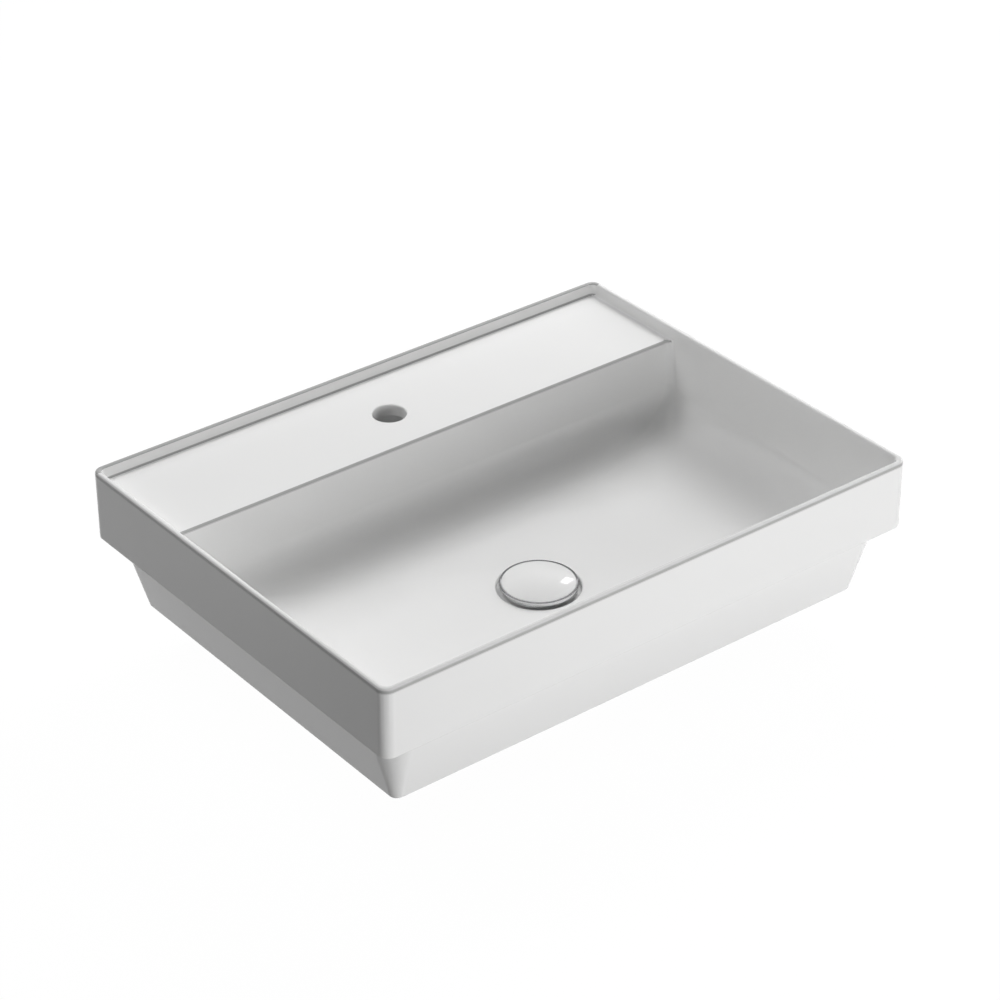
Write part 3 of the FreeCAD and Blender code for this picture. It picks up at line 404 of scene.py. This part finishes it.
def smooth_copy(node, name, angle=SMOOTH_ANGLE):
    """Merged copy of a node's mesh, smooth except across edges sharper than an angle."""
    piece = bpy.data.objects.new(name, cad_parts[node].data.copy())
    bpy.context.scene.collection.objects.link(piece)
    make_active(piece)
    bpy.ops.mesh.customdata_custom_splitnormals_clear()
    bpy.ops.object.mode_set(mode="EDIT")
    bpy.ops.mesh.select_all(action="SELECT")
    bpy.ops.mesh.remove_doubles(threshold=MERGE_DISTANCE)
    bpy.ops.object.mode_set(mode="OBJECT")
    settle_normals(piece, angle)
    return piece


def dress_node(node, material):
    """Better material on a node that is shown as it is."""
    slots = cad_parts[node].data.materials
    slots.clear()
    slots.append(material)


def pick_edges(piece, wanted):
    """Selects the sharp edges whose two ends pass a test, and leaves the piece in edit mode."""
    make_active(piece)
    bpy.ops.object.mode_set(mode="EDIT")
    bpy.ops.mesh.select_mode(type="EDGE")
    bpy.ops.mesh.select_all(action="DESELECT")
    bpy.ops.mesh.edges_select_sharp(sharpness=math.radians(EDGE_ANGLE))
    bpy.ops.object.mode_set(mode="OBJECT")
    points = piece.data.vertices
    for edge in piece.data.edges:
        ends = [points[i].co for i in edge.vertices]
        edge.select = edge.select and all(wanted(end) for end in ends)
    bpy.ops.object.mode_set(mode="EDIT")


def apply_modifier(piece, kind, **values):
    """Modifier with its values, applied at once."""
    make_active(piece)
    modifier = piece.modifiers.new(kind.lower(), kind)
    for key, value in values.items():
        setattr(modifier, key, value)
    bpy.ops.object.modifier_apply(modifier=modifier.name)


def soften_edges(piece, width):
    """Small rounds on a piece's sharp edges, after its flat faces are merged."""
    make_active(piece)
    bpy.ops.object.mode_set(mode="EDIT")
    bpy.ops.mesh.select_all(action="SELECT")
    bpy.ops.mesh.dissolve_limited(angle_limit=math.radians(FLAT_ANGLE))
    bpy.ops.object.mode_set(mode="OBJECT")
    apply_modifier(piece, "BEVEL", width=width, segments=3, limit_method="ANGLE",
                   angle_limit=math.radians(BEVEL_ANGLE))
    settle_normals(piece, SMALL_ANGLE)


def cut_across(piece, place, way):
    """Row of edges right across a piece, so that a round or a band beside it stays by itself."""
    make_active(piece)
    bpy.ops.object.mode_set(mode="EDIT")
    bpy.ops.mesh.select_all(action="SELECT")
    bpy.ops.mesh.bisect(plane_co=place, plane_no=way)
    bpy.ops.object.mode_set(mode="OBJECT")


def round_painted_shade(fall, radius):
    """How much painted shade lies at a depth below the top of a round, least at its foot."""
    share = min(max(fall / radius, 0.0), 1.0)
    return min(1.0, 2.0 * (1.0 - share))


def rim_painted_shade(fall):
    """How much painted shade lies on the collar at a depth below the rim, most at the foot of the rim's round."""
    rise = (fall - SHADE_START * RIM_ROUND) / (SHADE_RISE * RIM_ROUND)
    fade = (RIM_CUTS[-1] - fall) / (SHADE_FADE * RIM_ROUND)
    return min(max(SHADE_GAIN * min(rise, fade), 0.0), 1.0)


def mark_painted_shade(piece, ledge_round):
    """Marks painted shade on the faces of the rim's outer round, the ledge's front round and the hollow at the
    ledge's back.
    """
    marks = piece.data.attributes.new("painted_shade_mark", "FLOAT", "FACE")
    for face, mark in zip(piece.data.polygons, marks.data):
        place = face.center
        way = face.normal
        over_ledge = place.z - LEDGE_HEIGHT
        under_rim = RIM_HEIGHT - place.z
        if place.y > BACK_LIP and under_rim < LIP_SHADE_BAND * RIM_ROUND:
            mark.value = round_painted_shade(under_rim, RIM_ROUND)
        elif way.x * place.x + way.y * place.y > OUTWARD and under_rim < RIM_CUTS[-1]:
            mark.value = rim_painted_shade(under_rim)
        elif way.y < FORWARD and abs(place.y - LEDGE_EDGE) < ledge_round and over_ledge < 0.0:
            mark.value = round_painted_shade(-over_ledge, ledge_round)
        elif way.y < HOLLOW_TURN * way.z and place.y > BACK_LIP and 0.0 < over_ledge < LEDGE_HOLLOW:
            mark.value = round_painted_shade(over_ledge, LEDGE_HOLLOW)


def on_ledge_edge(place):
    """Whether a place is on the front edge of the tap ledge."""
    level = abs(place.z - LEDGE_HEIGHT) < EDGE_SLACK
    return level and LEDGE_EDGE - EDGE_AHEAD < place.y < LEDGE_EDGE + EDGE_BEHIND


class BASIN_OT_glazed_body(bpy.types.Operator):
    """Glazed ceramic body of the basin"""
    bl_idname = "basin.glazed_body"
    bl_label = "Glazed body"

    def execute(self, context):
        settings = context.scene.basin_glaze
        piece = smooth_copy("basin_body", "glazed_body")
        cut_across(piece, (0.0, LEDGE_EDGE + 2.0 * settings.ledge_round, 0.0), (0.0, 1.0, 0.0))
        for depth in RIM_CUTS:
            cut_across(piece, (0.0, 0.0, RIM_HEIGHT - depth), (0.0, 0.0, 1.0))
        pick_edges(piece, on_ledge_edge)
        bpy.ops.mesh.bevel(offset=settings.ledge_round, segments=4, affect="EDGES", clamp_overlap=True)
        bpy.ops.object.mode_set(mode="OBJECT")
        settle_normals(piece)
        # Painted shade marked on the rim's rounds, the ledge's front round and the hollow behind it
        mark_painted_shade(piece, settings.ledge_round)
        finish_piece(piece, glaze_material("white_glaze", settings), "basin", "ceramic", "basin_body")
        return {"FINISHED"}


class BASIN_OT_waste_cover(bpy.types.Operator):
    """Domed ceramic cover on its chromed plate"""
    bl_idname = "basin.waste_cover"
    bl_label = "Waste cover"

    def execute(self, context):
        glaze = glaze_material("cover_glaze", context.scene.basin_glaze)
        cover = smooth_copy("plug_cover", "domed_cover")
        finish_piece(cover, glaze, "plug", "cover_ceramic", "plug_cover")
        plate = smooth_copy("plug_plate", "chromed_plate")
        chrome = chrome_material("plate_chrome", BRIGHT_CHROME)
        shader = chrome.node_tree.nodes["Principled BSDF"]
        # Painted shade of the gap between cover and plate, along the plate's top
        gap_shade_line(chrome, shader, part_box("plug_plate")[1].z - GAP_SHADE_HEIGHT, GAP_SHADE_COLOUR)
        finish_piece(plate, chrome, "plug", "chrome", "plug_plate")
        return {"FINISHED"}


def thread_cutter(name, top, low, pitch, root, crest):
    """Helical groove round the waste axis, as a solid, from a low end up to a top."""
    half = GROOVE_SHARE * pitch
    turns = math.ceil((top - low) / pitch)
    profile = bpy.data.meshes.new(name)
    profile.from_pydata([(root, 0.0, low), (crest, 0.0, low + half), (crest, 0.0, low - half)],
                        [(0, 1), (1, 2), (2, 0)], [])
    cutter = bpy.data.objects.new(name, profile)
    bpy.context.scene.collection.objects.link(cutter)
    apply_modifier(cutter, "SCREW", axis="Z", angle=2.0 * math.pi, screw_offset=pitch, iterations=turns,
                   steps=THREAD_STEPS, render_steps=THREAD_STEPS, use_merge_vertices=True)
    make_active(cutter)
    bpy.ops.object.mode_set(mode="EDIT")
    bpy.ops.mesh.select_all(action="SELECT")
    bpy.ops.mesh.fill_holes(sides=3)
    bpy.ops.mesh.normals_make_consistent(inside=False)
    bpy.ops.object.mode_set(mode="OBJECT")
    cutter.data.transform(Matrix.Translation(WASTE_AXIS))
    return cutter


def carve(piece, tool, operation):
    """Boolean of a piece with a tool that is then removed."""
    apply_modifier(piece, "BOOLEAN", object=tool, operation=operation, solver="EXACT")
    bpy.data.objects.remove(tool)


class BASIN_OT_waste_tail(bpy.types.Operator):
    """Waste body with the thread of its tail"""
    bl_idname = "basin.waste_tail"
    bl_label = "Waste tail"

    def execute(self, context):
        settings = context.scene.basin_fittings
        tail_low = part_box("waste_body")[0].z
        nut_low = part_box("back_nut")[0].z
        piece = smooth_copy("waste_body", "threaded_tail")
        cutter = thread_cutter("tail_thread", nut_low - THREAD_START, tail_low, settings.pitch,
                               TAIL_RADIUS - settings.thread_depth, TAIL_RADIUS + THREAD_REACH)
        carve(piece, cutter, "DIFFERENCE")
        settle_normals(piece)
        finish_piece(piece, chrome_material("waste_chrome", BRIGHT_CHROME), "basin", "chrome", "waste_body")
        return {"FINISHED"}


class BASIN_OT_back_nut(bpy.types.Operator):
    """Hexagonal back nut with chamfered corners"""
    bl_idname = "basin.back_nut"
    bl_label = "Back nut"

    def execute(self, context):
        low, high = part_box("back_nut")
        piece = smooth_copy("back_nut", "chamfered_nut")
        deselect_all()
        corner = (high.x - low.x) / 2.0
        height = high.z - low.z
        middle = Vector((0.0, WASTE_AXIS.y, (low.z + high.z) / 2.0))
        bpy.ops.mesh.primitive_cylinder_add(vertices=NUT_SIDES, radius=corner - NUT_CHAMFER, depth=height,
                                            location=middle)
        turning = bpy.context.object
        bpy.ops.object.transform_apply(location=True, rotation=True, scale=True)
        bpy.ops.object.mode_set(mode="EDIT")
        bpy.ops.mesh.select_all(action="DESELECT")
        bpy.ops.object.mode_set(mode="OBJECT")
        for face in turning.data.polygons:
            face.select = abs(face.normal.z) < UPRIGHT
        bpy.ops.object.mode_set(mode="EDIT")
        bpy.ops.mesh.subdivide(number_cuts=2)
        bpy.ops.object.mode_set(mode="OBJECT")
        for point in turning.data.vertices:
            if abs(point.co.z - middle.z) < NUT_WHOLE * height:
                way = Vector((point.co.x - middle.x, point.co.y - middle.y, 0.0)).normalized()
                point.co.x = middle.x + way.x * (corner + NUT_REACH)
                point.co.y = middle.y + way.y * (corner + NUT_REACH)
        carve(piece, turning, "INTERSECT")
        soften_edges(piece, SOFT_EDGE)
        brass = turned_metal_material("nut_brass", *BRASS)
        finish_piece(piece, brass, "basin", "brass", "back_nut")
        return {"FINISHED"}


class BASIN_OT_waste_seals(bpy.types.Operator):
    """Tapered seal and slip washer under the boss"""
    bl_idname = "basin.waste_seals"
    bl_label = "Waste seals"

    def execute(self, context):
        rubber = moulded_material("black_rubber", *BLACK_RUBBER)
        white = moulded_material("white_plastic", *WHITE_PLASTIC)
        seal = smooth_copy("boss_seal", "tapered_seal")
        soften_edges(seal, SEAL_EDGE)
        finish_piece(seal, rubber, "basin", "seal_rubber", "boss_seal")
        washer = smooth_copy("slip_washer", "slip_ring")
        soften_edges(washer, SOFT_EDGE)
        finish_piece(washer, white, "basin", "white_plastic", "slip_washer")
        return {"FINISHED"}


class BASIN_OT_waste_fittings(bpy.types.Operator):
    """Inner seals, stem and latch"""
    bl_idname = "basin.waste_fittings"
    bl_label = "Waste fittings"

    def execute(self, context):
        steel = turned_metal_material("drawn_steel", *STEEL)
        rubber = moulded_material("hidden_rubber", *BLACK_RUBBER)
        soft = moulded_material("pad_rubber", *GREY_RUBBER)
        white = moulded_material("ring_plastic", *WHITE_PLASTIC)
        grey = moulded_material("grey_plastic", *GREY_PLASTIC)
        finishes = {
            steel: ("plug_stem", "stem_nut"),
            rubber: ("flange_seal", "plug_seal"),
            soft: ("cover_pad",),
            white: ("latch_ring",),
            grey: ("cartridge_plunger", "cartridge_sleeve", "cartridge_cap", "cartridge_foot", "cartridge_nut"),
        }
        for material, nodes in finishes.items():
            for node in nodes:
                dress_node(node, material)
        spring = smooth_copy("cartridge_spring", "latch_spring", SMALL_ANGLE)
        finish_piece(spring, steel, None, "steel", "cartridge_spring")
        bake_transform(spring)
        return {"FINISHED"}


# Stage

def softbox(name, place, aim, width, height, brightness):
    """Soft lamp that stays out of the picture and out of reflections."""
    lamp = bpy.data.lights.new(name, "AREA")
    lamp.shape = "RECTANGLE"
    lamp.size = width
    lamp.size_y = height
    lamp.energy = math.pi * width * height * brightness
    holder = bpy.data.objects.new(name, lamp)
    bpy.context.scene.collection.objects.link(holder)
    holder.location = place
    holder.rotation_euler = (Vector(aim) - Vector(place)).to_track_quat("-Z", "Y").to_euler()
    holder.visible_camera = False
    holder.visible_glossy = False
    return holder


def around(azimuth, elevation):
    """Place on the sphere of softboxes."""
    turn = math.radians(azimuth)
    rise = math.radians(elevation)
    return BOX_DISTANCE * Vector((math.cos(rise) * math.sin(turn), -math.cos(rise) * math.cos(turn),
                                  math.sin(rise)))


def seen_directly(material):
    """One for rays from the camera, a reflection or glass, and zero for scattered light."""
    path = add_node(material, "ShaderNodeLightPath")
    seen = path.outputs["Is Camera Ray"]
    for kind in ("Is Glossy Ray", "Is Transmission Ray"):
        either = add_node(material, "ShaderNodeMath", operation="MAXIMUM")
        link(material, seen, either.inputs[0])
        link(material, path.outputs[kind], either.inputs[1])
        seen = either.outputs[0]
    return seen


class BASIN_OT_stage(bpy.types.Operator):
    """Pale floor, soft lamps and the camera"""
    bl_idname = "basin.stage"
    bl_label = "Stage"

    def execute(self, context):
        settings = context.scene.basin_stage
        self.floor(settings)
        self.lamps()
        self.camera(settings)
        context.scene.view_settings.view_transform = "Standard"
        return {"FINISHED"}

    def floor(self, settings):
        deselect_all()
        bpy.ops.mesh.primitive_plane_add(size=FLOOR_SIDE, location=(0.0, 0.0, settings.floor_drop))
        floor = bpy.context.object
        floor.name = "pale_floor"
        material, shader = new_material("pale_floor")
        shader.inputs["Base Color"].default_value = FLOOR_GREY
        shader.inputs["Roughness"].default_value = FLOOR_ROUGHNESS
        shader.inputs["Specular IOR Level"].default_value = 0.0
        share = add_node(material, "ShaderNodeMath", operation="MULTIPLY")
        share.inputs[1].default_value = FLOOR_SHARE
        link(material, seen_directly(material), share.inputs[0])
        white = add_node(material, "ShaderNodeEmission", Color=WHITE, Strength=FLOOR_GLOW)
        mix = add_node(material, "ShaderNodeMixShader")
        link(material, share.outputs[0], mix.inputs["Fac"])
        link(material, shader.outputs["BSDF"], mix.inputs[1])
        link(material, white.outputs["Emission"], mix.inputs[2])
        link(material, mix.outputs["Shader"], material.node_tree.nodes["Material Output"].inputs["Surface"])
        floor.data.materials.append(material)

    def lamps(self):
        for name, (azimuth, elevation, brightness) in BOXES.items():
            softbox(name, around(azimuth, elevation), (0.0, 0.0, 0.0), BOX_SIDE, BOX_SIDE, brightness)
        for name, values in FILLS.items():
            softbox(name, *values)
        glint = softbox("waste_glint", *GLINT)
        glint.visible_glossy = True
        lit = bpy.data.collections.new("lit_by_glint")
        lit.objects.link(bpy.data.objects["domed_cover"])
        glint.light_linking.receiver_collection = lit
        world = bpy.data.worlds.new("studio")
        world.use_nodes = True
        background = world.node_tree.nodes["Background"]
        background.inputs["Color"].default_value = WHITE
        link(world, seen_directly(world), background.inputs["Strength"])
        bpy.context.scene.world = world

    def camera(self, settings):
        """Camera at the photograph's place, built from yaw, pitch and roll."""
        ahead = Vector((math.sin(settings.yaw) * math.cos(settings.pitch),
                        math.cos(settings.yaw) * math.cos(settings.pitch), -math.sin(settings.pitch)))
        right = Vector((math.cos(settings.yaw), -math.sin(settings.yaw), 0.0))
        up = right.cross(ahead)
        across = math.cos(settings.roll) * right + math.sin(settings.roll) * up
        upward = math.cos(settings.roll) * up - math.sin(settings.roll) * right
        lens = bpy.data.cameras.new("photo_camera")
        lens.sensor_width = SENSOR_WIDTH
        lens.lens = settings.lens
        lens.clip_end = SIGHT
        holder = bpy.data.objects.new("photo_camera", lens)
        bpy.context.scene.collection.objects.link(holder)
        turn = Matrix((across, upward, -ahead)).transposed()
        holder.matrix_world = Matrix.Translation(settings.camera_place) @ turn.to_4x4()
        bpy.context.scene.camera = holder


class BASIN_PT_pieces(bpy.types.Panel):
    """Pieces of the basin"""
    bl_idname = "BASIN_PT_pieces"
    bl_label = "Inset basin"
    bl_space_type = "VIEW_3D"
    bl_region_type = "UI"
    bl_category = "Basin"

    def draw(self, context):
        for operator in OPERATORS:
            self.layout.operator(operator.bl_idname)
        scene = context.scene
        for settings in (scene.basin_glaze, scene.basin_fittings, scene.basin_stage):
            for key in settings.__annotations__:
                self.layout.prop(settings, key)


OPERATORS = (BASIN_OT_glazed_body, BASIN_OT_waste_cover, BASIN_OT_waste_tail, BASIN_OT_back_nut,
             BASIN_OT_waste_seals, BASIN_OT_waste_fittings, BASIN_OT_stage)
CLASSES = (GlazeSettings, FittingSettings, StageSettings, *OPERATORS, BASIN_PT_pieces)


def register():
    for kind in CLASSES:
        bpy.utils.register_class(kind)
    bpy.types.Scene.basin_glaze = bpy.props.PointerProperty(type=GlazeSettings)
    bpy.types.Scene.basin_fittings = bpy.props.PointerProperty(type=FittingSettings)
    bpy.types.Scene.basin_stage = bpy.props.PointerProperty(type=StageSettings)


def unregister():
    del bpy.types.Scene.basin_stage
    del bpy.types.Scene.basin_fittings
    del bpy.types.Scene.basin_glaze
    for kind in reversed(CLASSES):
        bpy.utils.unregister_class(kind)


def main():
    register()
    bpy.ops.basin.glazed_body()
    bpy.ops.basin.waste_cover()
    bpy.ops.basin.waste_tail()
    bpy.ops.basin.back_nut()
    bpy.ops.basin.waste_seals()
    bpy.ops.basin.waste_fittings()
    bpy.ops.basin.stage()


if __name__ == "__main__":
    main()
